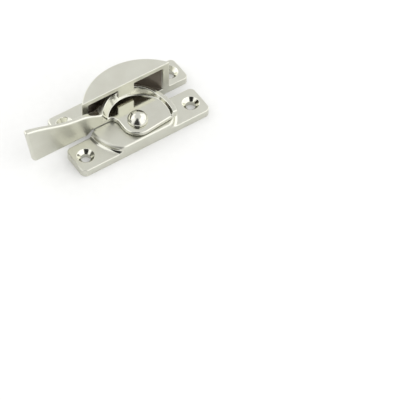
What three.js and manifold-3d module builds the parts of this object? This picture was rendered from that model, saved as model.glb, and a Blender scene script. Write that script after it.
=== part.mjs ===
// Narrow sash lock: a body with a turning cam lever, and the hooded keep that the cam draws in.
// Millimetres. Z is up from the faces of the two meeting rails, X runs along the plates,
// Y points from the body towards the keep, and the lever's pivot is the Z axis.
import * as THREE from 'three';
import { mergeVertices } from 'three/addons/utils/BufferGeometryUtils.js';
import Module from 'manifold-3d';

const wasm = await Module();
wasm.setup();

// Driving dimensions
const PLATE_LENGTH = 64;
const PLATE_THICKNESS = 3.8;
const SCREW_HOLE = 4.2;
const COUNTERSINK = 7.4;
const COUNTERSINK_ANGLE = 90;

const BODY_WIDTH = 14.5;
const BODY_CENTRE_Y = -0.8;
const BODY_CORNER = 2.5;
const BODY_HOLE_SPACING = 52.8;

const BOSS_TOP = 6.8;
const BOSS_RADIUS = 17.7;
const BOSS_ROUND = 1.3;
const BOSS_FILLET = 1.7;
const PAD_LENGTH = 34.4;
const PAD_DEPTH = 0.95;

const KEEP_WIDTH = 12.8;
const KEEP_FRONT_Y = 12;
const KEEP_SHIFT_X = 2;
const KEEP_CORNER = 2;
const KEEP_HOLE_SPACING = 53;
const KEEP_HOLE_SHIFT_Y = 0.2;
const HOOD_HALF_CHORD = 22;
const HOOD_RADIUS = 27.1;
const HOOD_TOP = 19.6;
const HOOD_WALL = 2.5;
const LUG_WIDTH = 8;
const LUG_DEPTH = 1.4;
const LUG_BOTTOM = 12.4;

const CAM_UNDERSIDE = 7.1;
const DISH_FLOOR = 9.2;
const RIM_TOP = 12.9;
const RIM_RADIUS = 16.4;
const RIM_LAND = 1.2;
const DISH_RADIUS = 13.4;
const CAM_OFFSET = [0.8, -0.2];
const CAM_EDGE_Y = -5.3;
const HUB_RADIUS = 7.2;
const HUB_END_ANGLE = -79.63;
const NECK_RADIUS = 3.4;
const LEAD_START_X = 9;
const LEAD_RUN = 10;
const LEAD_FALL = 3.6;

const BLADE_FRONT_Y = 7.1;
const BLADE_BOTTOM = 4.5;
const HANDLE_ROOT_X = -6;
const HANDLE_ROOT_Y = 14.6;

// Curves of the handle, each as the control points that follow its start.
const ROOT_SWEEP = [-11.5, 12.9, -13.5, 10.2, -22, 9.3];
const BLADE_SWEEP = [-30, 8.8, -36, 9.2, -60, 9.9];
const UNDER_STEP = [-18.8, CAM_UNDERSIDE, -19.6, BLADE_BOTTOM, -21.6, BLADE_BOTTOM];
const UNDER_STEP_X = -17.6;
const HEEL_CURVE = [-46.6, BLADE_BOTTOM, -47, BLADE_BOTTOM + 2];
const HEEL_CURVE_X = -44.6;
const TIP_CURVE = [-49.9, 24.9, -48.9, 24.8];
const TIP_CURVE_START = [-49.8, 23.9];
const FISH_TAIL = [-40, 23.2, -34, 18.4, -24, 17.4];
const SHOULDER = [-18, 16.8, -15.5, RIM_TOP, -11, RIM_TOP];

const PIVOT_DIAMETER = 5;
const PIVOT_CLEARANCE = 0.08;
const HEAD_DIAMETER = 8.7;
const HEAD_RIM = 0.8;
const HEAD_DOME = 3;
const STACK_GAP = 0.15;
const TAIL_DIAMETER = 7.4;
const TAIL_THICKNESS = 1.1;
const TAIL_CHAMFER = 0.4;

const SPRING_POCKET = 13;
const POCKET_CEILING = 3.3;
const THRUST_POCKET = 12;
const THRUST_POCKET_DEPTH = 0.5;
const THRUST_WASHER = { bore: 5.6, diameter: 11.4, bottom: 6.42, top: 6.98 };
const TAIL_WASHER = { bore: 5.6, diameter: 11.2, bottom: 1.25, top: 1.85 };
const WAVE_WASHER = { bore: 5.6, diameter: 11.2, bottom: 2.4, thickness: 0.4, swing: 0.3, waves: 3 };

// Cutters run past the faces they open by OVERCUT; added bodies reach OVERLAP into their neighbours;
// nothing of the lock lies further out than FAR.
const OVERCUT = 1;
const OVERLAP = 1;
const FAR = 60;

const ROUND_SEGMENTS = 64;
const ARC_SEGMENTS = 28;
const HOLE_SEGMENTS = 40;
const WASHER_SEGMENTS = 48;
const WAVE_SEGMENTS = 72;
const RIVET_SEGMENTS = 56;
const RIM_SEGMENTS = 96;
const HOOD_SEGMENTS = 180;
const EDGE_STEPS = 6;
const FILLET_STEPS = 7;
const DOME_STEPS = 12;
const NECK_STEPS = 10;
const HUB_STEPS = 18;

// Finishes
const satinNickel = { color: 0xc9c8bd, roughness: 0.34, metalness: 1 };
const polishedNickel = { color: 0xd6d3c4, roughness: 0.12, metalness: 1 };
const springSteel = { color: 0x8d8f90, roughness: 0.35, metalness: 1 };
const bronze = { color: 0xa77b45, roughness: 0.4, metalness: 1 };

// A closed three.js geometry as a solid: shared vertices merged, flat slivers dropped, facing out.
function solid(geometry) {
  const bare = geometry.clone();
  bare.deleteAttribute('normal');
  bare.deleteAttribute('uv');
  const merged = mergeVertices(bare, 1e-5);
  const points = merged.attributes.position.array;
  const triangles = [];
  for (let i = 0; i < merged.index.count; i += 3) {
    const [a, b, c] = merged.index.array.slice(i, i + 3);
    if (a !== b && b !== c && c !== a) triangles.push(a, b, c);
  }
  if (signedVolume(points, triangles) < 0) triangles.reverse();
  return new wasm.Manifold(new wasm.Mesh({
    numProp: 3,
    vertProperties: Float32Array.from(points),
    triVerts: Uint32Array.from(triangles),
  }));
}

function signedVolume(points, triangles) {
  const corner = (n) => new THREE.Vector3().fromArray(points, 3 * triangles[n]);
  let volume = 0;
  for (let i = 0; i < triangles.length; i += 3) {
    volume += corner(i).dot(corner(i + 1).cross(corner(i + 2))) / 6;
  }
  return volume;
}

function toGeometry(manifold) {
  const mesh = manifold.getMesh();
  const geometry = new THREE.BufferGeometry();
  geometry.setAttribute('position', new THREE.BufferAttribute(mesh.vertProperties, 3));
  geometry.setIndex(new THREE.BufferAttribute(mesh.triVerts, 1));
  geometry.computeVertexNormals();
  return geometry;
}

// Outline in the XY plane raised from z0 to z1.
function raise(shape, z0, z1) {
  const options = { depth: z1 - z0, bevelEnabled: false, curveSegments: ARC_SEGMENTS };
  return solid(new THREE.ExtrudeGeometry(shape, options).translate(0, 0, z0));
}

// Side outline, drawn as (x, z), swept from y0 to y1.
function sweepAcross(shape, y0, y1) {
  const options = { depth: y1 - y0, bevelEnabled: false, curveSegments: ARC_SEGMENTS };
  const geometry = new THREE.ExtrudeGeometry(shape, options);
  return solid(geometry.rotateX(Math.PI / 2).translate(0, y1, 0));
}

// End outline, drawn as (y, z), swept from x0 to x1.
function sweepAlong(shape, x0, x1) {
  const options = { depth: x1 - x0, bevelEnabled: false, curveSegments: ARC_SEGMENTS };
  const turn = new THREE.Matrix4().makeBasis(
    new THREE.Vector3(0, 1, 0),
    new THREE.Vector3(0, 0, 1),
    new THREE.Vector3(1, 0, 0),
  );
  const geometry = new THREE.ExtrudeGeometry(shape, options);
  return solid(geometry.applyMatrix4(turn).translate(x0, 0, 0));
}

// Profile of (radius, z) points, from axis to axis, turned about a vertical axis at (x, y).
function turned(profile, x = 0, y = 0, segments = ROUND_SEGMENTS) {
  const points = profile.map(([radius, z]) => new THREE.Vector2(radius, z));
  const geometry = new THREE.LatheGeometry(points, segments);
  return solid(geometry.rotateX(Math.PI / 2).translate(x, y, 0));
}

function disc(radius, z0, z1, x = 0, y = 0, segments = ROUND_SEGMENTS) {
  return turned([[0, z0], [radius, z0], [radius, z1], [0, z1]], x, y, segments);
}

function box(x0, x1, y0, y1, z0, z1) {
  const geometry = new THREE.BoxGeometry(x1 - x0, y1 - y0, z1 - z0);
  return solid(geometry.translate((x0 + x1) / 2, (y0 + y1) / 2, (z0 + z1) / 2));
}

// Points of a circular arc, angles in degrees.
function arc(cx, cy, radius, from, to, steps) {
  return Array.from({ length: steps + 1 }, (_, i) => {
    const angle = THREE.MathUtils.degToRad(from + ((to - from) * i) / steps);
    return [cx + radius * Math.cos(angle), cy + radius * Math.sin(angle)];
  });
}

function roundedRectangle(width, height, corner, cx, cy) {
  const dx = width / 2 - corner;
  const dy = height / 2 - corner;
  const shape = new THREE.Shape();
  shape.absarc(cx + dx, cy + dy, corner, 0, Math.PI / 2);
  shape.absarc(cx - dx, cy + dy, corner, Math.PI / 2, Math.PI);
  shape.absarc(cx - dx, cy - dy, corner, Math.PI, 1.5 * Math.PI);
  shape.absarc(cx + dx, cy - dy, corner, 1.5 * Math.PI, 2 * Math.PI);
  return shape;
}

// Cutter for a countersunk screw hole through a plate whose top is at z = top.
function countersunkHole(x, y, top) {
  const hole = SCREW_HOLE / 2;
  const mouth = COUNTERSINK / 2;
  const slope = Math.tan(THREE.MathUtils.degToRad(COUNTERSINK_ANGLE / 2));
  const profile = [
    [0, -OVERCUT],
    [hole, -OVERCUT],
    [hole, top - (mouth - hole) / slope],
    [mouth, top],
    [mouth, top + OVERCUT],
    [0, top + OVERCUT],
  ];
  return turned(profile, x, y, HOLE_SEGMENTS);
}

function screwHoles(spacing, centreX, y) {
  return [-1, 1].map((side) => countersunkHole(centreX + (side * spacing) / 2, y, PLATE_THICKNESS));
}

// Vertical hole on the pivot's axis.
function pivotHole(diameter, z0, z1, segments) {
  return disc(diameter / 2, z0, z1, 0, 0, segments);
}

function pivotBore(z1) {
  return pivotHole(PIVOT_DIAMETER + 2 * PIVOT_CLEARANCE, -OVERCUT, z1, HOLE_SEGMENTS);
}

// Half-round boss with a fillet at its foot, cut off flush with the plate's front and back edges.
function bossSolid(front, back) {
  const foot = BOSS_RADIUS + BOSS_ROUND + BOSS_FILLET;
  const filletTop = PLATE_THICKNESS + BOSS_FILLET;
  const start = PLATE_THICKNESS - OVERLAP;
  const profile = [
    [0, start],
    [foot, start],
    ...arc(foot, filletTop, BOSS_FILLET, 270, 180, FILLET_STEPS),
    ...arc(BOSS_RADIUS, BOSS_TOP - BOSS_ROUND, BOSS_ROUND, 0, 90, EDGE_STEPS),
    [0, BOSS_TOP],
  ];
  const section = [
    [back, 0],
    [back, BOSS_TOP],
    ...arc(front + BOSS_ROUND, BOSS_TOP - BOSS_ROUND, BOSS_ROUND, 90, 180, EDGE_STEPS),
    [front, 0],
  ];
  const sectionShape = new THREE.Shape(section.map(([y, z]) => new THREE.Vector2(y, z)));
  const slice = sweepAlong(sectionShape, -FAR, FAR);
  return turned(profile, 0, back, RIM_SEGMENTS).intersect(slice);
}

// Body: flat plate with a half-round boss flush with its front edge, and a pad behind that
// carries the boss on under the front edge of the cam.
function bodySolid() {
  const front = BODY_CENTRE_Y - BODY_WIDTH / 2;
  const back = BODY_CENTRE_Y + BODY_WIDTH / 2;
  const outline = roundedRectangle(PLATE_LENGTH, BODY_WIDTH, BODY_CORNER, 0, BODY_CENTRE_Y);
  const padEnd = PAD_LENGTH / 2;
  const pad = box(-padEnd, padEnd, back - OVERLAP, back + PAD_DEPTH, 0, BOSS_TOP);
  let body = raise(outline, 0, PLATE_THICKNESS).add(bossSolid(front, back)).add(pad);
  for (const hole of screwHoles(BODY_HOLE_SPACING, 0, BODY_CENTRE_Y)) body = body.subtract(hole);
  const above = BOSS_TOP + OVERCUT;
  const thrustFloor = BOSS_TOP - THRUST_POCKET_DEPTH;
  return body
    .subtract(pivotBore(above))
    .subtract(pivotHole(SPRING_POCKET, -OVERCUT, POCKET_CEILING, WASHER_SEGMENTS))
    .subtract(pivotHole(THRUST_POCKET, thrustFloor, above, WASHER_SEGMENTS));
}

// Keep: flat plate with a half-moon hood, open at the front, and a lug under the hood's lip.
function keepSolid() {
  const back = KEEP_FRONT_Y + KEEP_WIDTH;
  const centreY = (KEEP_FRONT_Y + back) / 2;
  const outline = roundedRectangle(PLATE_LENGTH, KEEP_WIDTH, KEEP_CORNER, KEEP_SHIFT_X, centreY);
  const arcDepth = Math.sqrt(HOOD_RADIUS ** 2 - HOOD_HALF_CHORD ** 2);
  const arcCentreY = KEEP_FRONT_Y - arcDepth;
  const hoodDisc = (radius, z0, z1) => disc(radius, z0, z1, KEEP_SHIFT_X, arcCentreY, HOOD_SEGMENTS);
  const behindFront = box(-FAR, FAR, KEEP_FRONT_Y, FAR, 0, FAR);
  const hood = hoodDisc(HOOD_RADIUS, PLATE_THICKNESS - OVERLAP, HOOD_TOP).intersect(behindFront);
  const ceiling = HOOD_TOP - HOOD_WALL;
  const hollow = hoodDisc(HOOD_RADIUS - HOOD_WALL, PLATE_THICKNESS, ceiling);
  const lugX = KEEP_SHIFT_X - LUG_WIDTH / 2;
  const lugBack = KEEP_FRONT_Y + LUG_DEPTH;
  const lugTop = ceiling + OVERLAP;
  const lug = box(lugX, lugX + LUG_WIDTH, KEEP_FRONT_Y, lugBack, LUG_BOTTOM, lugTop);
  let keep = raise(outline, 0, PLATE_THICKNESS).add(hood).subtract(hollow).add(lug);
  const holeY = centreY + KEEP_HOLE_SHIFT_Y;
  for (const hole of screwHoles(KEEP_HOLE_SPACING, KEEP_SHIFT_X, holeY)) keep = keep.subtract(hole);
  return keep;
}

// Plan of everything behind the lever's front edge: hub lobe, neck curve and straight cam edge.
function leverPlan() {
  const neckX = -HUB_RADIUS - NECK_RADIUS;
  const points = [
    [-FAR, FAR],
    [-FAR, BLADE_FRONT_Y],
    ...arc(neckX, BLADE_FRONT_Y - NECK_RADIUS, NECK_RADIUS, 90, 0, NECK_STEPS),
    ...arc(0, 0, HUB_RADIUS, -180, HUB_END_ANGLE, HUB_STEPS),
    [RIM_RADIUS + OVERCUT, CAM_EDGE_Y],
    [FAR, CAM_EDGE_Y],
    [FAR, FAR],
  ];
  return new THREE.Shape(points.map(([x, y]) => new THREE.Vector2(x, y)));
}

// Plan of the handle: a thin blade that widens into the rim of the cam.
function handlePlan() {
  const shape = new THREE.Shape();
  shape.moveTo(-FAR, BLADE_FRONT_Y);
  shape.lineTo(HANDLE_ROOT_X, BLADE_FRONT_Y);
  shape.lineTo(HANDLE_ROOT_X, HANDLE_ROOT_Y);
  shape.bezierCurveTo(...ROOT_SWEEP);
  shape.bezierCurveTo(...BLADE_SWEEP);
  return shape;
}

// Side view of the handle: the fish-tail blade, stepped up at its root to pass over the boss.
function handleSide() {
  const shape = new THREE.Shape();
  shape.moveTo(HANDLE_ROOT_X, CAM_UNDERSIDE);
  shape.lineTo(UNDER_STEP_X, CAM_UNDERSIDE);
  shape.bezierCurveTo(...UNDER_STEP);
  shape.lineTo(HEEL_CURVE_X, BLADE_BOTTOM);
  shape.quadraticCurveTo(...HEEL_CURVE);
  shape.lineTo(...TIP_CURVE_START);
  shape.quadraticCurveTo(...TIP_CURVE);
  shape.bezierCurveTo(...FISH_TAIL);
  shape.bezierCurveTo(...SHOULDER);
  shape.lineTo(HANDLE_ROOT_X, RIM_TOP);
  return shape;
}

// The dish of the cam, as the space above its floor, out to the land of the rim.
function dishSpace() {
  const land = RIM_RADIUS - RIM_LAND;
  const top = RIM_TOP + OVERCUT;
  const slope = (land - DISH_RADIUS) / (RIM_TOP - DISH_FLOOR);
  const profile = [
    [0, DISH_FLOOR],
    [DISH_RADIUS, DISH_FLOOR],
    [land + slope * OVERCUT, top],
    [land + slope * OVERCUT, FAR],
    [0, FAR],
  ];
  return turned(profile, ...CAM_OFFSET, RIM_SEGMENTS);
}

// The rim falls away towards its leading tip, so that it can start under the lug.
function leadIn() {
  const end = LEAD_START_X + LEAD_RUN;
  const shape = new THREE.Shape();
  shape.moveTo(LEAD_START_X, RIM_TOP);
  shape.lineTo(end, RIM_TOP - LEAD_FALL);
  shape.lineTo(end, RIM_TOP + OVERCUT);
  shape.lineTo(LEAD_START_X, RIM_TOP + OVERCUT);
  return sweepAcross(shape, -RIM_RADIUS, RIM_RADIUS);
}

function leverSolid() {
  const rim = disc(RIM_RADIUS, CAM_UNDERSIDE, RIM_TOP, ...CAM_OFFSET, RIM_SEGMENTS);
  const handle = raise(handlePlan(), 0, FAR).intersect(sweepAcross(handleSide(), 0, FAR));
  return rim
    .add(handle)
    .intersect(raise(leverPlan(), 0, FAR))
    .subtract(dishSpace())
    .subtract(leadIn())
    .subtract(pivotBore(RIM_TOP));
}

// Rivet: low domed head on the dish, plain shank, and a tail spread flush over its washer.
function rivetSolid() {
  const under = DISH_FLOOR + STACK_GAP;
  const edge = HEAD_DIAMETER / 2;
  const sphere = (edge ** 2 + HEAD_DOME ** 2) / (2 * HEAD_DOME);
  const centre = under + HEAD_RIM + HEAD_DOME - sphere;
  const start = THREE.MathUtils.radToDeg(Math.asin((under + HEAD_RIM - centre) / sphere));
  const dome = arc(0, centre, sphere, start, 90, DOME_STEPS).slice(0, -1);
  const tail = TAIL_DIAMETER / 2;
  const profile = [
    [0, 0],
    [tail - TAIL_CHAMFER, 0],
    [tail, TAIL_CHAMFER],
    [tail, TAIL_THICKNESS],
    [PIVOT_DIAMETER / 2, TAIL_THICKNESS],
    [PIVOT_DIAMETER / 2, under],
    [edge, under],
    ...dome,
    [0, centre + sphere],
  ];
  return turned(profile, 0, 0, RIVET_SEGMENTS);
}

function flatWasher({ bore, diameter, bottom, top }) {
  const blank = pivotHole(diameter, bottom, top, WASHER_SEGMENTS);
  return blank.subtract(pivotHole(bore, bottom - OVERCUT, top + OVERCUT, WASHER_SEGMENTS));
}

// Wave spring washer: a thin ring whose height swings as it goes round.
function waveWasher({ bore, diameter, bottom, thickness, swing, waves }) {
  const section = [
    new THREE.Vector2(bore / 2, 0),
    new THREE.Vector2(diameter / 2, 0),
    new THREE.Vector2(diameter / 2, thickness),
    new THREE.Vector2(bore / 2, thickness),
    new THREE.Vector2(bore / 2, 0),
  ];
  const geometry = new THREE.LatheGeometry(section, WAVE_SEGMENTS).rotateX(Math.PI / 2);
  const position = geometry.attributes.position;
  for (let i = 0; i < position.count; i += 1) {
    const angle = Math.atan2(position.getY(i), position.getX(i));
    position.setZ(i, position.getZ(i) + bottom + swing * Math.cos(waves * angle));
  }
  return solid(geometry);
}

const sashLock = new THREE.Group();

function addPart(name, manifold, finish) {
  const mesh = new THREE.Mesh(toGeometry(manifold), new THREE.MeshStandardMaterial(finish));
  mesh.name = name;
  sashLock.add(mesh);
}

addPart('body_plate', bodySolid(), satinNickel);
addPart('cam_lever', leverSolid(), satinNickel);
addPart('pivot_rivet', rivetSolid(), polishedNickel);
addPart('thrust_washer', flatWasher(THRUST_WASHER), bronze);
addPart('wave_washer', waveWasher(WAVE_WASHER), springSteel);
addPart('tail_washer', flatWasher(TAIL_WASHER), springSteel);
addPart('keep', keepSolid(), satinNickel);

export default sashLock;
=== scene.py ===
"""Window sash lock: cast nickel-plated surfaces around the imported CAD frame.

Each casting is described by a signed distance field in millimetres, so that every edge, fillet and
countersink has its own radius, and the field is then turned into a quad mesh on the CAD node's box.
"""

import math

import bpy
import numpy as np
from mathutils import Matrix, Vector


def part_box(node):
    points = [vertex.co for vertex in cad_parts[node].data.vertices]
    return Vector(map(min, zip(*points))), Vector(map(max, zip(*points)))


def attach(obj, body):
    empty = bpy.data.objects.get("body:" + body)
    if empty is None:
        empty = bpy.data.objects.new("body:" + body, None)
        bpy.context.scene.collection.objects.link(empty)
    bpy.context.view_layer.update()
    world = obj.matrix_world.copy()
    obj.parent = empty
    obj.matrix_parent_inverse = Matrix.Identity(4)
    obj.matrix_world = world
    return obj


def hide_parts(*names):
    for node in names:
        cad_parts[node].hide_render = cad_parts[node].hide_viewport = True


MM = 0.001


# ---------------------------------------------------------------- distance fields
def both(a, b, radius):
    """What two solids share, with the edge between them rounded."""
    corner = np.hypot(np.maximum(a + radius, 0), np.maximum(b + radius, 0))
    return np.minimum(np.maximum(a, b), -radius) + corner


def either(a, b, radius):
    """Two solids joined, with a fillet between them."""
    return -both(-a, -b, radius)


def cut(a, b, radius):
    """The first solid without the second, with a rounded lip."""
    return both(a, -b, radius)


def circle(x, y, centre, radius):
    return np.hypot(x - centre[0], y - centre[1]) - radius


def rounded_rectangle(x, y, centre, size, radius):
    dx = np.abs(x - centre[0]) - size[0] / 2 + radius
    dy = np.abs(y - centre[1]) - size[1] / 2 + radius
    outside = np.hypot(np.maximum(dx, 0), np.maximum(dy, 0))
    return outside + np.minimum(np.maximum(dx, dy), 0) - radius


def polygon(x, y, points):
    """Distance to a closed outline, less than zero inside it."""
    x, y = np.broadcast_arrays(x, y)
    nearest = np.full(x.shape, np.inf)
    inside = np.zeros(x.shape, bool)
    for (ax, ay), (bx, by) in zip(points, points[1:] + points[:1]):
        ex, ey = bx - ax, by - ay
        along = np.clip(((x - ax) * ex + (y - ay) * ey) / (ex * ex + ey * ey), 0, 1)
        nearest = np.minimum(nearest, np.hypot(x - ax - along * ex, y - ay - along * ey))
        if ay != by:
            inside ^= ((ay > y) != (by > y)) & (x < ax + ex * (y - ay) / ey)
    return np.where(inside, -nearest, nearest)


def bezier(points, steps=14):
    """Points along a quadratic or cubic curve, without its first point."""
    order = len(points) - 1
    curve = []
    for t in np.linspace(0, 1, steps + 1)[1:]:
        weights = [math.comb(order, i) * t**i * (1 - t) ** (order - i) for i in range(order + 1)]
        curve.append(tuple(float(np.dot(weights, axis)) for axis in zip(*points)))
    return curve


def arc(centre, radius, start, end, steps):
    angles = np.radians(np.linspace(start, end, steps + 1))
    return [(centre[0] + radius * math.cos(a), centre[1] + radius * math.sin(a)) for a in angles]


def ramp(value, start, end):
    """0 before start, 1 after end, smooth between."""
    t = np.clip((value - start) / (end - start), 0, 1)
    return t * t * (3 - 2 * t)


# ---------------------------------------------------------------- meshing
SLOPE_STEP = 0.01
BEND_REACH = 0.25
NEWTON_STEPS = 4
SLOPE_FLOOR = 0.25
GRID_MARGIN = 1.5
FLAT_RANGE = (0.9, 0.99)
EDGE_RANGE = (0.3, 0.9)


def gradient(field, points):
    slopes = []
    for axis in np.eye(3):
        ahead = field(*(points + axis * SLOPE_STEP).T)
        behind = field(*(points - axis * SLOPE_STEP).T)
        slopes.append((ahead - behind) / (2 * SLOPE_STEP))
    return np.stack(slopes, 1)


def at_corner(grid, corner):
    """Value at one corner of every cell of a grid."""
    return grid[tuple(slice(c, c + n - 1) for c, n in zip(corner, grid.shape))]


def crossing_points(values, axes):
    """One point in each grid cell that the surface passes through: the mean of its edge crossings."""
    inside = values < 0
    corners = [(i, j, k) for i in (0, 1) for j in (0, 1) for k in (0, 1)]
    filled = sum(at_corner(inside, c).astype(np.int8) for c in corners)
    mixed = (filled > 0) & (filled < len(corners))
    cells = np.argwhere(mixed)
    total = np.zeros((len(cells), 3))
    count = np.zeros(len(cells))
    for c in corners:
        for axis in range(3):
            if c[axis]:
                continue
            d = list(c)
            d[axis] = 1
            a = at_corner(values, c)[mixed]
            b = at_corner(values, d)[mixed]
            crosses = (a < 0) != (b < 0)
            at = np.tile(np.array(c, float), (len(cells), 1))
            at[:, axis] = a / np.where(crosses, a - b, 1)
            total += np.where(crosses[:, None], at, 0)
            count += crosses
    step = np.array([a[1] - a[0] for a in axes])
    start = np.array([a[0] for a in axes])
    return start + (cells + total / count[:, None]) * step, mixed


def cell_quads(values, mixed):
    """A quad around each grid edge that crosses the surface, facing out."""
    index = np.full(mixed.shape, -1)
    index[mixed] = np.arange(mixed.sum())
    inside = values < 0
    quads = []
    for axis in range(3):
        a, b = (axis + 1) % 3, (axis + 2) % 3
        near = [slice(None)] * 3
        near[a] = near[b] = slice(1, -1)
        near[axis] = slice(0, -1)
        far = list(near)
        far[axis] = slice(1, None)
        start, end = inside[tuple(near)], inside[tuple(far)]
        around = []
        for da, db in ((-1, -1), (0, -1), (0, 0), (-1, 0)):
            part = [slice(None)] * 3
            part[a] = slice(1 + da, mixed.shape[a] + da)
            part[b] = slice(1 + db, mixed.shape[b] + db)
            around.append(index[tuple(part)])
        ring = np.stack(around, -1)
        quads.append(ring[start & ~end])
        quads.append(ring[~start & end][:, ::-1])
    return np.concatenate(quads)


def settle(field, points):
    """Points moved on to the surface."""
    for _ in range(NEWTON_STEPS):
        slope = gradient(field, points)
        length = np.maximum((slope**2).sum(1), SLOPE_FLOOR)
        points = points - slope * (field(*points.T) / length)[:, None]
    return points


def bend_of(field, points):
    """Curvature at each point: more than zero on outer edges, less than zero in hollows."""
    total = 0
    for axis in np.eye(3):
        for sign in (-1, 1):
            total = total + field(*(points + sign * BEND_REACH * axis).T)
    return total / BEND_REACH**2


def write_attribute(mesh, name, values):
    attribute = mesh.attributes.new(name, "FLOAT", "POINT")
    attribute.data.foreach_set("value", values.astype(np.float32))


def skin(name, field, belt_mask, dull_shade_mask, low, high, step):
    """Mesh object of a field's surface, with exact normals.

    Its attributes steer the material: bend is the curvature, belt is where the surface is satin, and
    dull_shaded_inside is where the hood's inside is dull and its colour darkened as painted shade.
    """
    margin = GRID_MARGIN * step
    axes = [np.arange(a - margin, b + margin + step, step) for a, b in zip(low, high)]
    grid = np.meshgrid(*axes, indexing="ij", sparse=True)
    values = np.broadcast_to(field(*grid), tuple(len(a) for a in axes))
    points, mixed = crossing_points(values, axes)
    points = settle(field, points)
    normals = gradient(field, points)
    normals /= np.linalg.norm(normals, axis=1)[:, None]
    mesh = bpy.data.meshes.new(name)
    mesh.from_pydata(points * MM, [], cell_quads(values, mixed))
    mesh.shade_smooth()
    mesh.normals_split_custom_set_from_vertices(normals)
    bend = bend_of(field, points)
    flat = np.maximum(ramp(np.abs(normals).max(1), *FLAT_RANGE), ramp(bend, *EDGE_RANGE))
    write_attribute(mesh, "bend", bend)
    write_attribute(mesh, "belt", belt_mask(*points.T, flat))
    write_attribute(mesh, "dull_shaded_inside", dull_shade_mask(*points.T))
    piece = bpy.data.objects.new(name, mesh)
    bpy.context.scene.collection.objects.link(piece)
    return piece


# ---------------------------------------------------------------- frame
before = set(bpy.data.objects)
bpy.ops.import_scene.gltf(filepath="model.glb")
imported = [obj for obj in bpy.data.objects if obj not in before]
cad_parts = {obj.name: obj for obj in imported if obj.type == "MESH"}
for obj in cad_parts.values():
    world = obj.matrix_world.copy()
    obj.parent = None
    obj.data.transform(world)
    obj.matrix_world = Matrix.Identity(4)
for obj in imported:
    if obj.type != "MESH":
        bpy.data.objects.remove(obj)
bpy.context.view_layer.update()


def node_box(node):
    low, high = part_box(node)
    return np.array(low) / MM, np.array(high) / MM


BODY_LOW, BODY_HIGH = node_box("body_plate")
KEEP_LOW, KEEP_HIGH = node_box("keep")
LEVER_LOW, LEVER_HIGH = node_box("cam_lever")
RIVET_LOW, RIVET_HIGH = node_box("pivot_rivet")

PLATE_TOP = 3.8
HOLE = 2.1
MOUTH = 3.7
MOUTH_SPARE = 0.5
HOLE_LIP = 0.12
BODY_HOLES = 26.4
KEEP_HOLES = 26.5
KEEP_HOLE_SHIFT = 0.2
BORE = 2.58
BORE_LIP = 0.1
UNDER_EDGE = 0.2


def screw_hole(x, y, z, centre):
    """Space of a 90 degree countersunk screw hole, which widens no further than just past its mouth."""
    reach = np.hypot(x - centre[0], y - centre[1])
    cone = (reach - MOUTH - (z - PLATE_TOP)) * math.sqrt(0.5)
    return np.minimum(reach - HOLE, np.maximum(cone, reach - MOUTH - MOUTH_SPARE))


# ---------------------------------------------------------------- body
BOSS_TOP = BODY_HIGH[2]
BOSS_WALL = 19.0
BOSS_ROUND = 1.3
BOSS_FILLET = 1.7
PAD_LENGTH = 34.4
PAD_DEPTH = 0.95
PAD_INSET = 3
PAD_CORNER = 0.4
PLATE_BACK = 6.45
PLATE_CORNER = 2.5
PLATE_EDGE = 0.35
FRONT_EDGE = 0.85
FRONT_ZONE = (2, 5)
FRONT_RISE = (PLATE_TOP - 0.3, PLATE_TOP + 1.8)
SPRING_POCKET = 6.5
POCKET_CEILING = 3.3
POCKET_FILLET = 0.3
POCKET_LIP = 0.2
THRUST_POCKET = 6.0
THRUST_FLOOR = 6.3
THRUST_FILLET = 0.1
THRUST_LIP = 0.15
BODY_MIDDLE = (0, (BODY_LOW[1] + PLATE_BACK) / 2)
BODY_SIZE = (BODY_HIGH[0] - BODY_LOW[0], PLATE_BACK - BODY_LOW[1])
BODY_HOLE_CENTRES = [(side * BODY_HOLES, BODY_MIDDLE[1]) for side in (-1, 1)]


def body_field(x, y, z):
    """Flat plate with a half-round boss, whose fillets run out at the plate's front and back edges."""
    plate = rounded_rectangle(x, y, BODY_MIDDLE, BODY_SIZE, PLATE_CORNER)
    pad_size = (PAD_LENGTH, 2 * (PAD_INSET + PAD_DEPTH))
    pad = rounded_rectangle(x, y, (0, PLATE_BACK - PAD_INSET), pad_size, PAD_CORNER)
    outline = np.minimum(plate, pad)
    boss = both(circle(x, y, (0, PLATE_BACK), BOSS_WALL), z - BOSS_TOP, BOSS_ROUND)
    top = either(z - PLATE_TOP, boss, BOSS_FILLET)
    front = ramp(-y, *FRONT_ZONE) * ramp(z, *FRONT_RISE)
    solid = both(outline, top, PLATE_EDGE + (FRONT_EDGE - PLATE_EDGE) * front)
    solid = both(solid, -z, UNDER_EDGE)
    for centre in BODY_HOLE_CENTRES:
        solid = cut(solid, screw_hole(x, y, z, centre), HOLE_LIP)
    axis = np.hypot(x, y)
    solid = cut(solid, both(axis - SPRING_POCKET, z - POCKET_CEILING, POCKET_FILLET), POCKET_LIP)
    solid = cut(solid, both(axis - THRUST_POCKET, THRUST_FLOOR - z, THRUST_FILLET), THRUST_LIP)
    return cut(solid, axis - BORE, BORE_LIP)


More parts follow.
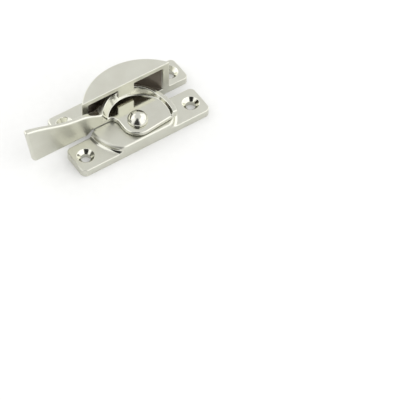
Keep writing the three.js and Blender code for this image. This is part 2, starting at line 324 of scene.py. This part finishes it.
# ---------------------------------------------------------------- keep
KEEP_MIDDLE = (KEEP_LOW[:2] + KEEP_HIGH[:2]) / 2
KEEP_SIZE = (KEEP_HIGH - KEEP_LOW)[:2]
HOOD_TOP = KEEP_HIGH[2]
HOOD_RADIUS = 27.1
HOOD_DEPTH = 11.275
HOOD_CENTRE = (KEEP_MIDDLE[0], KEEP_LOW[1] + HOOD_DEPTH - HOOD_RADIUS)
HOOD_WALL = 2.5
HOOD_CEILING = HOOD_TOP - HOOD_WALL
HOOD_EDGE = 0.5
HOOD_FILLET = 0.4
HOLLOW_ROUND = 0.8
HOLLOW_FILLET = 0.3
HOLLOW_LIP = 0.25
KEEP_CORNER = 2
KEEP_FRONT_EDGE = 0.25
KEEP_BACK_EDGE = 0.9
LUG_HALF = 4
LUG_BACK = 1.4
LUG_BOTTOM = 12.4
LUG_EDGE = 0.25
KEEP_HOLE_CENTRES = [
    (KEEP_MIDDLE[0] + side * KEEP_HOLES, KEEP_MIDDLE[1] + KEEP_HOLE_SHIFT) for side in (-1, 1)
]


def keep_field(x, y, z):
    """Flat plate with a half-moon hood, open at the front, and a lug under the hood's lip."""
    outline = rounded_rectangle(x, y, KEEP_MIDDLE, KEEP_SIZE, KEEP_CORNER)
    arch = circle(x, y, HOOD_CENTRE, HOOD_RADIUS)
    top = either(z - PLATE_TOP, both(arch, z - HOOD_TOP, HOOD_EDGE), HOOD_FILLET)
    back = ramp(y, KEEP_MIDDLE[1], KEEP_HIGH[1])
    edge = KEEP_FRONT_EDGE + (KEEP_BACK_EDGE - KEEP_FRONT_EDGE) * back
    solid = both(both(outline, top, edge), -z, UNDER_EDGE)
    hollow = both(arch + HOOD_WALL, z - HOOD_CEILING, HOLLOW_ROUND)
    hollow = both(hollow, PLATE_TOP - z, HOLLOW_FILLET)
    lug = both(np.abs(x - KEEP_MIDDLE[0]) - LUG_HALF, y - KEEP_LOW[1] - LUG_BACK, LUG_EDGE)
    hollow = cut(hollow, both(lug, LUG_BOTTOM - z, LUG_EDGE), HOLLOW_FILLET)
    solid = cut(solid, hollow, HOLLOW_LIP)
    for centre in KEEP_HOLE_CENTRES:
        solid = cut(solid, screw_hole(x, y, z, centre), HOLE_LIP)
    return solid


# ---------------------------------------------------------------- lever
CAM_CENTRE = (0.8, -0.2)
CAM_UNDER = 7.1
RIM = 16.4
RIM_TOP = 12.9
RIM_LAND = 1.2
RIM_EDGE = 0.35
DISH_FLOOR = 9.2
DISH = 13.4
DISH_FILLET = 0.3
DISH_EDGE = 0.25
HUB = 7.2
HUB_STEPS = 40
HUB_END_ANGLE = -79.63
NECK = 3.4
NECK_STEPS = 24
CAM_EDGE = -5.3
CAM_EDGE_END_X = 21
PLAN_EDGE = 0.7
CAM_UNDER_EDGE = 0.35
BLADE_UNDER_EDGE = 1.0
BLADE_ROOT = (19, 23)
BLADE_FRONT = 7.1
BLADE_BOTTOM = 4.5
HANDLE_INSET = 5
HANDLE_EDGE = 0.5
HANDLE_FILLET = 0.9
LEAD_START = 9
LEAD_FALL = 0.36
LEAD_BLEND = 1
FAR = 60

# Curves of the handle, as control points: two seen from above, (x, y), and four from the side, (x, z).
ROOT_SWEEP = [(-6, 14.6), (-11.5, 12.9), (-13.5, 10.2), (-22, 9.3)]
BLADE_SWEEP = [(-22, 9.3), (-30, 8.8), (-36, 9.2), (-FAR, 9.9)]
SHOULDER = [(-11, RIM_TOP), (-15.5, RIM_TOP), (-18, 16.8), (-24, 17.4)]
FISH_TAIL = [(-24, 17.4), (-34, 18.4), (-40, 23.2), (-48.9, 24.9)]
HEEL = [(-47, BLADE_BOTTOM + 2), (-46.6, BLADE_BOTTOM), (-44.6, BLADE_BOTTOM)]
UNDER_STEP = [(-21.6, BLADE_BOTTOM), (-19.6, BLADE_BOTTOM), (-18.8, CAM_UNDER), (-17.6, CAM_UNDER)]
HANDLE_FOOT = 10
TIP = (-50.4, 25.2)
TIP_SLANT = [(-54, FAR), (-50, LEVER_HIGH[2])]

LEVER_PLAN = [
    (-FAR, FAR),
    (-FAR, BLADE_FRONT),
    *arc((-HUB - NECK, BLADE_FRONT - NECK), NECK, 90, 0, NECK_STEPS),
    *arc((0, 0), HUB, -180, HUB_END_ANGLE, HUB_STEPS),
    (CAM_EDGE_END_X, CAM_EDGE),
    (FAR, CAM_EDGE),
    (FAR, FAR),
]
HANDLE_PLAN = [
    (-FAR, BLADE_FRONT - HANDLE_INSET),
    (ROOT_SWEEP[0][0], BLADE_FRONT - HANDLE_INSET),
    ROOT_SWEEP[0],
    *bezier(ROOT_SWEEP),
    *bezier(BLADE_SWEEP),
]
HANDLE_SIDE = [
    (ROOT_SWEEP[0][0], -FAR),
    (ROOT_SWEEP[0][0], HANDLE_FOOT),
    SHOULDER[0],
    *bezier(SHOULDER),
    *bezier(FISH_TAIL),
    TIP,
    (-FAR, TIP[1]),
    (-FAR, -FAR),
]
LEVER_SIDE = [
    (FAR, CAM_UNDER),
    (FAR, FAR),
    *TIP_SLANT,
    HEEL[0],
    *bezier(HEEL),
    UNDER_STEP[0],
    *bezier(UNDER_STEP),
]


def lever_field(x, y, z):
    """Dished cam and fish-tail handle, cut to one plan and one side view."""
    reach = circle(x, y, CAM_CENTRE, 0)
    lead = (z - RIM_TOP + LEAD_FALL * (x - LEAD_START)) / math.hypot(1, LEAD_FALL)
    disc = both(reach - RIM, both(z - RIM_TOP, lead, LEAD_BLEND), RIM_EDGE)
    handle = both(polygon(x, y, HANDLE_PLAN), polygon(x, z, HANDLE_SIDE), HANDLE_EDGE)
    solid = either(disc, handle, HANDLE_FILLET)
    slope = (RIM - RIM_LAND - DISH) / (RIM_TOP - DISH_FLOOR)
    bowl = (reach - DISH - slope * (z - DISH_FLOOR)) / math.hypot(1, slope)
    solid = cut(solid, both(bowl, DISH_FLOOR - z, DISH_FILLET), DISH_EDGE)
    solid = both(solid, polygon(x, y, LEVER_PLAN), PLAN_EDGE)
    under_edge = CAM_UNDER_EDGE + (BLADE_UNDER_EDGE - CAM_UNDER_EDGE) * ramp(-x, *BLADE_ROOT)
    solid = both(solid, polygon(x, z, LEVER_SIDE), under_edge)
    return cut(solid, np.hypot(x, y) - BORE, BORE_LIP)


# ---------------------------------------------------------------- rivet
HEAD = 4.35
HEAD_UNDER = 9.35
HEAD_DOME = 3.0
HEAD_EDGE = 0.15
SHANK = 2.5
TAIL = 3.7
TAIL_TOP = 1.1
TAIL_EDGE = 0.35
TAIL_UNDER_EDGE = 0.1
SHANK_OVERLAP = 1


def rivet_field(x, y, z):
    """Domed head, plain shank and spread tail, turned about the pivot's axis."""
    axis = np.hypot(x, y)
    ball = (HEAD**2 + HEAD_DOME**2) / (2 * HEAD_DOME)
    middle = RIVET_HIGH[2] - ball
    dome = np.hypot(axis, z - middle) - ball
    head = both(both(axis - HEAD, dome, HEAD_EDGE), HEAD_UNDER - z, HEAD_EDGE)
    shank = np.maximum(axis - SHANK, z - HEAD_UNDER - SHANK_OVERLAP)
    tail = both(axis - TAIL, np.abs(z - TAIL_TOP / 2) - TAIL_TOP / 2, TAIL_EDGE)
    return both(np.minimum(np.minimum(head, tail), shank), -z, TAIL_UNDER_EDGE)


# ---------------------------------------------------------------- materials
def shader(name):
    material = bpy.data.materials.new(name)
    material.use_nodes = True
    return material, material.node_tree, material.node_tree.nodes["Principled BSDF"]


def add(tree, kind, **settings):
    """New node; settings name its properties, or its inputs by their labels."""
    node = tree.nodes.new(kind)
    for key, value in settings.items():
        label = key.replace("_", " ").title()
        if label in node.inputs:
            node.inputs[label].default_value = value
        else:
            setattr(node, key, value)
    return node


def spread(tree, source, low, high, new_low, new_high):
    node = tree.nodes.new("ShaderNodeMapRange")
    for label, value in zip(("From Min", "From Max", "To Min", "To Max"), (low, high, new_low, new_high)):
        node.inputs[label].default_value = value
    tree.links.new(source, node.inputs["Value"])
    return node.outputs["Result"]


def blend(tree, share, a, b):
    node = tree.nodes.new("ShaderNodeMix")
    node.data_type = "RGBA"
    tree.links.new(share, node.inputs["Factor"])
    for value, socket in ((a, node.inputs[6]), (b, node.inputs[7])):
        if isinstance(value, tuple):
            socket.default_value = (*value, 1)
        else:
            tree.links.new(value, socket)
    return node.outputs[2]


def combine(tree, operation, a, b):
    node = add(tree, "ShaderNodeMath", operation=operation)
    for value, socket in ((a, node.inputs[0]), (b, node.inputs[1])):
        if isinstance(value, (int, float)):
            socket.default_value = value
        else:
            tree.links.new(value, socket)
    return node.outputs[0]


def noise(tree, place, scale, detail=3.0, stretch=(1, 1, 1)):
    mapping = tree.nodes.new("ShaderNodeMapping")
    mapping.inputs["Scale"].default_value = stretch
    tree.links.new(place, mapping.inputs["Vector"])
    node = add(tree, "ShaderNodeTexNoise", scale=scale, detail=detail)
    tree.links.new(mapping.outputs["Vector"], node.inputs["Vector"])
    return node.outputs["Fac"]


# Painted shade: dark brown base colour for the hood's dull inside.
INNER_SHADE_TONE = (0.26, 0.225, 0.18)
INNER_METAL = 0.55
PATCH_SCALE = 160
LINE_SCALE = 900
LINE_STRETCH = (0.12, 1, 1)
SPECK_SCALE = 5200
SPECK_SHARE = 0.6
GRAIN_DEPTH = 0.00002
PATCH_RANGE = (0.35, 0.65)
PATCH_ROUGHNESS = (0.85, 1.1)
LINE_ROUGHNESS = 0.12
RUBBED = (0.3, 2.2, 0, 0.7)
RUBBED_GAIN = 1.06
RUBBED_LIFT = 0.02
# Painted shade: concave hollows get a darker base colour, from their curvature.
PAINTED_SHADE_RANGE = (-0.4, -3, 0, 0.45)
HOLLOW_SHADE = 0.45


def attribute(tree, name):
    return add(tree, "ShaderNodeAttribute", attribute_name=name).outputs["Fac"]


def plating_tone(tree, patches, colour, shade):
    """Soft patches of tone, brighter where edges are rubbed, painted shade darkening the hollows, and a
    dull inside to the hood whose colour is darkened as painted shade.
    """
    bend = attribute(tree, "bend")
    rubbed_colour = tuple(min(1, RUBBED_GAIN * c + RUBBED_LIFT) for c in colour)
    painted_hollow_shade = tuple(HOLLOW_SHADE * c for c in shade)
    tone = blend(tree, spread(tree, patches, *PATCH_RANGE, 0, 1), shade, colour)
    tone = blend(tree, spread(tree, bend, *RUBBED), tone, rubbed_colour)
    # painted shade in the hollows, darker as the surface curves inwards
    tone = blend(tree, spread(tree, bend, *PAINTED_SHADE_RANGE), tone, painted_hollow_shade)
    # inside the hood the plating is dull, and its colour goes to a dark tone as painted shade
    return blend(tree, attribute(tree, "dull_shaded_inside"), tone, INNER_SHADE_TONE)


def plating_roughness(tree, patches, lines, polished, satin):
    """From polished to satin by the belt mask, varied by the patches and the drawn lines."""
    smooth, dull = (share * polished for share in PATCH_ROUGHNESS)
    swing = LINE_ROUGHNESS * polished
    base = spread(tree, patches, 0.3, 0.7, smooth, dull)
    drawn = spread(tree, lines, 0.35, 0.65, -swing, swing)
    belt = spread(tree, attribute(tree, "belt"), 0, 1, 0, satin - polished)
    return combine(tree, "ADD", combine(tree, "ADD", base, drawn), belt)


def nickel(name, colour, shade, polished, satin, grain):
    """Plated metal with a fine drawn grain; polished and satin are its two roughnesses."""
    material, tree, surface = shader(name)
    place = tree.nodes.new("ShaderNodeTexCoord").outputs["Object"]
    patches = noise(tree, place, PATCH_SCALE)
    lines = noise(tree, place, LINE_SCALE, 5, stretch=LINE_STRETCH)
    specks = noise(tree, place, SPECK_SCALE, 2)
    roughness = plating_roughness(tree, patches, lines, polished, satin)
    metal = spread(tree, attribute(tree, "dull_shaded_inside"), 0, 1, 1, INNER_METAL)
    height = combine(tree, "ADD", lines, combine(tree, "MULTIPLY", specks, SPECK_SHARE))
    bump = add(tree, "ShaderNodeBump", strength=grain, distance=GRAIN_DEPTH)
    tree.links.new(height, bump.inputs["Height"])
    tree.links.new(plating_tone(tree, patches, colour, shade), surface.inputs["Base Color"])
    tree.links.new(roughness, surface.inputs["Roughness"])
    tree.links.new(metal, surface.inputs["Metallic"])
    tree.links.new(bump.outputs["Normal"], surface.inputs["Normal"])
    return material


PLATED = nickel("nickel_plated", (0.66, 0.66, 0.585), (0.63, 0.625, 0.55), 0.11, 0.38, 0.25)
MIRROR = nickel("nickel_mirror", (0.64, 0.635, 0.57), (0.61, 0.605, 0.54), 0.2, 0.2, 0.08)
BRONZE = nickel("washer_bronze", (0.56, 0.36, 0.17), (0.40, 0.25, 0.12), 0.34, 0.34, 0.5)
STEEL = nickel("washer_steel", (0.42, 0.43, 0.44), (0.30, 0.31, 0.32), 0.32, 0.32, 0.5)


MASK_SPARE = 0.1
HOOD_BACK_SPARE = 1
DEEP_START = 0.9
DISH_SPARE = 0.2
CAM_UNDER_END = -19
BLADE_WEAR = 0.25
BLADE_WEAR_ZONE = (16, 24)


def near_screw_holes(x, y, centres):
    return np.any([np.hypot(x - cx, y - cy) < MOUTH + MASK_SPARE for cx, cy in centres], axis=0)


def body_belt(x, y, z, flat):
    """The satin belt reaches the body's flat faces and edges: not its countersinks or underside."""
    return flat * ~near_screw_holes(x, y, BODY_HOLE_CENTRES) * (z > MASK_SPARE)


def in_hood(x, y, z):
    arch = circle(x, y, HOOD_CENTRE, HOOD_RADIUS - HOOD_WALL)
    return (arch < MASK_SPARE) & (z < HOOD_CEILING + MASK_SPARE)


def keep_belt(x, y, z, flat):
    """The belt reaches the hood's round back too, and misses the countersinks and the hood's inside."""
    inside = in_hood(x, y, z)
    hood_back = (y > KEEP_LOW[1] + HOOD_BACK_SPARE) & (z > PLATE_TOP + HOOD_BACK_SPARE) & ~inside
    missed = near_screw_holes(x, y, KEEP_HOLE_CENTRES) | (inside & (y > KEEP_LOW[1] + MASK_SPARE))
    return np.maximum(flat, hood_back) * ~missed * (z > MASK_SPARE)


def lever_belt(x, y, z, flat):
    """The belt misses the dish of the cam and the lever's underside, and wears the blade duller."""
    dish = (circle(x, y, CAM_CENTRE, RIM - RIM_LAND) < MASK_SPARE / 2) & (z > DISH_FLOOR - DISH_SPARE)
    under = (z < CAM_UNDER + MASK_SPARE) & (x > CAM_UNDER_END)
    return flat * ~dish * ~under * (1 + BLADE_WEAR * ramp(-x, *BLADE_WEAR_ZONE))


def hood_dull_shade(x, y, z):
    """From 0 at the hood's mouth to 1 far inside it, where the plating stays dull and its colour is
    darkened as painted shade.
    """
    return in_hood(x, y, z) * (z > PLATE_TOP - MASK_SPARE) * ramp(y - KEEP_LOW[1], MASK_SPARE, DEEP_START)


def nowhere(x, y, z, flat=0):
    return np.zeros(x.shape)


# ---------------------------------------------------------------- pieces
def finish_piece(piece, body, node, material):
    piece.data.materials.append(material)
    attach(piece, body)
    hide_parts(node)


FINE_STEP = 0.25
KEEP_STEP_SHARE = 1.1
RIVET_STEP_SHARE = 0.6


def build_pieces():
    step = FINE_STEP
    body = skin("body_casting", body_field, body_belt, nowhere, BODY_LOW, BODY_HIGH, step)
    keep_step = KEEP_STEP_SHARE * step
    rivet_step = RIVET_STEP_SHARE * step
    keep = skin("keep_casting", keep_field, keep_belt, hood_dull_shade, KEEP_LOW, KEEP_HIGH, keep_step)
    lever = skin("lever_casting", lever_field, lever_belt, nowhere, LEVER_LOW, LEVER_HIGH, step)
    rivet = skin("rivet_turned", rivet_field, nowhere, nowhere, RIVET_LOW, RIVET_HIGH, rivet_step)
    finish_piece(body, "body", "body_plate", PLATED)
    finish_piece(keep, "body", "keep", PLATED)
    finish_piece(lever, "lever", "cam_lever", PLATED)
    finish_piece(rivet, "body", "pivot_rivet", MIRROR)


def dress(node, material):
    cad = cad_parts[node]
    cad.data.materials.clear()
    cad.data.materials.append(material)


# ---------------------------------------------------------------- studio
AZIMUTH = math.radians(-33.735)
ELEVATION = math.radians(50.65)
ROLL = math.radians(0.70)
AIM_RIGHT = math.radians(1.479)
AIM_DOWN = math.radians(-1.573)
DISTANCE = 1.0
LENS = 213.0
SENSOR = 36
VIEW_REACH = 20
TARGET = Vector((0.00005, -0.000925, 0))

TENT = 0.92
LAMP_DISTANCE = 1.5
LAMPS = {
    "fill_right": (60, 32, (1.5, 1.8), 0.8),
    "fill_left": (-72, 32, (1.4, 1.8), 0.55),
    "key_right": (118, 28, (1.4, 1.6), 0.8),
    "key_left": (-118, 28, (1.4, 1.6), 0.8),
}
SLIT_DISTANCE = 1.6
SLIT_CORNERS = ((-38, -6), (22, -6), (20, 74), (-34, 74))
FLOOR = -0.0001
FLOOR_HALF = 4.0
FLOOR_GLOW = 0.17
FLOOR_GRAIN = 300
FLOOR_DARK = (0.66, 0.66, 0.65)
FLOOR_LIGHT = (0.70, 0.70, 0.69)
SLIT_TONE = (0.02, 0.02, 0.02, 1)


def camera_axes():
    right = Vector((math.cos(AZIMUTH), math.sin(AZIMUTH), 0))
    back = Vector((math.sin(AZIMUTH) * math.cos(ELEVATION), -math.cos(AZIMUTH) * math.cos(ELEVATION),
                   math.sin(ELEVATION)))
    return right, back.cross(right), back


def place_camera():
    right, up, back = camera_axes()
    turn = Matrix((right, up, back)).transposed() @ Matrix.Rotation(ROLL, 3, "Z")
    turn = turn @ Matrix.Rotation(-AIM_RIGHT, 3, "Y") @ Matrix.Rotation(AIM_DOWN, 3, "X")
    data = bpy.data.cameras.new("camera")
    data.lens = LENS
    data.sensor_width = SENSOR
    data.clip_end = VIEW_REACH
    camera = bpy.data.objects.new("camera", data)
    camera.matrix_world = Matrix.Translation(TARGET + back * DISTANCE) @ turn.to_4x4()
    bpy.context.scene.collection.objects.link(camera)
    bpy.context.scene.camera = camera


def towards(azimuth, elevation):
    """Unit vector at an azimuth measured from the camera's own, clockwise from above."""
    a = AZIMUTH + math.radians(azimuth)
    e = math.radians(elevation)
    return Vector((math.sin(a) * math.cos(e), -math.cos(a) * math.cos(e), math.sin(e)))


def softbox(name, azimuth, elevation, size, radiance):
    """Lamp facing the lock, whose radiance is added to that of the tent behind it."""
    light = bpy.data.lights.new(name, "AREA")
    light.shape = "RECTANGLE"
    light.size, light.size_y = size
    light.energy = radiance * math.pi * size[0] * size[1]
    lamp = bpy.data.objects.new(name, light)
    way = towards(azimuth, elevation)
    lamp.location = way * LAMP_DISTANCE
    lamp.rotation_euler = way.to_track_quat("Z", "Y").to_euler()
    lamp.visible_camera = False
    bpy.context.scene.collection.objects.link(lamp)


def panel(name, corners, material):
    mesh = bpy.data.meshes.new(name)
    mesh.from_pydata(corners, [], [range(len(corners))])
    mesh.materials.append(material)
    piece = bpy.data.objects.new(name, mesh)
    bpy.context.scene.collection.objects.link(piece)
    return piece


def floor_material():
    material, tree, surface = shader("floor_paper")
    place = tree.nodes.new("ShaderNodeTexCoord").outputs["Object"]
    tone = blend(tree, noise(tree, place, FLOOR_GRAIN, 4), FLOOR_DARK, FLOOR_LIGHT)
    tree.links.new(tone, surface.inputs["Base Color"])
    surface.inputs["Roughness"].default_value = 0.9
    surface.inputs["Specular IOR Level"].default_value = 0.1
    surface.inputs["Emission Color"].default_value = (1, 1, 1, 1)
    surface.inputs["Emission Strength"].default_value = FLOOR_GLOW
    return material


def tent_slit():
    """Dark gap in the light tent, behind the camera."""
    material, _, surface = shader("slit_dark")
    surface.inputs["Base Color"].default_value = SLIT_TONE
    surface.inputs["Roughness"].default_value = 1
    corners = [towards(side, height) * SLIT_DISTANCE for side, height in SLIT_CORNERS]
    slit = panel("tent_slit", corners, material)
    slit.visible_camera = False
    slit.visible_diffuse = False
    slit.visible_shadow = False


def build_studio():
    ring = ((-1, -1), (1, -1), (1, 1), (-1, 1))
    panel("floor", [(i * FLOOR_HALF, j * FLOOR_HALF, FLOOR) for i, j in ring], floor_material())
    tent_slit()
    for name, settings in LAMPS.items():
        softbox(name, *settings)
    world = bpy.data.worlds.new("tent")
    world.use_nodes = True
    world.node_tree.nodes["Background"].inputs["Color"].default_value = (1, 1, 1, 1)
    world.node_tree.nodes["Background"].inputs["Strength"].default_value = TENT
    scene = bpy.context.scene
    scene.world = world
    scene.view_settings.view_transform = "Standard"


place_camera()
build_pieces()
dress("thrust_washer", BRONZE)
dress("wave_washer", STEEL)
dress("tail_washer", STEEL)
build_studio()
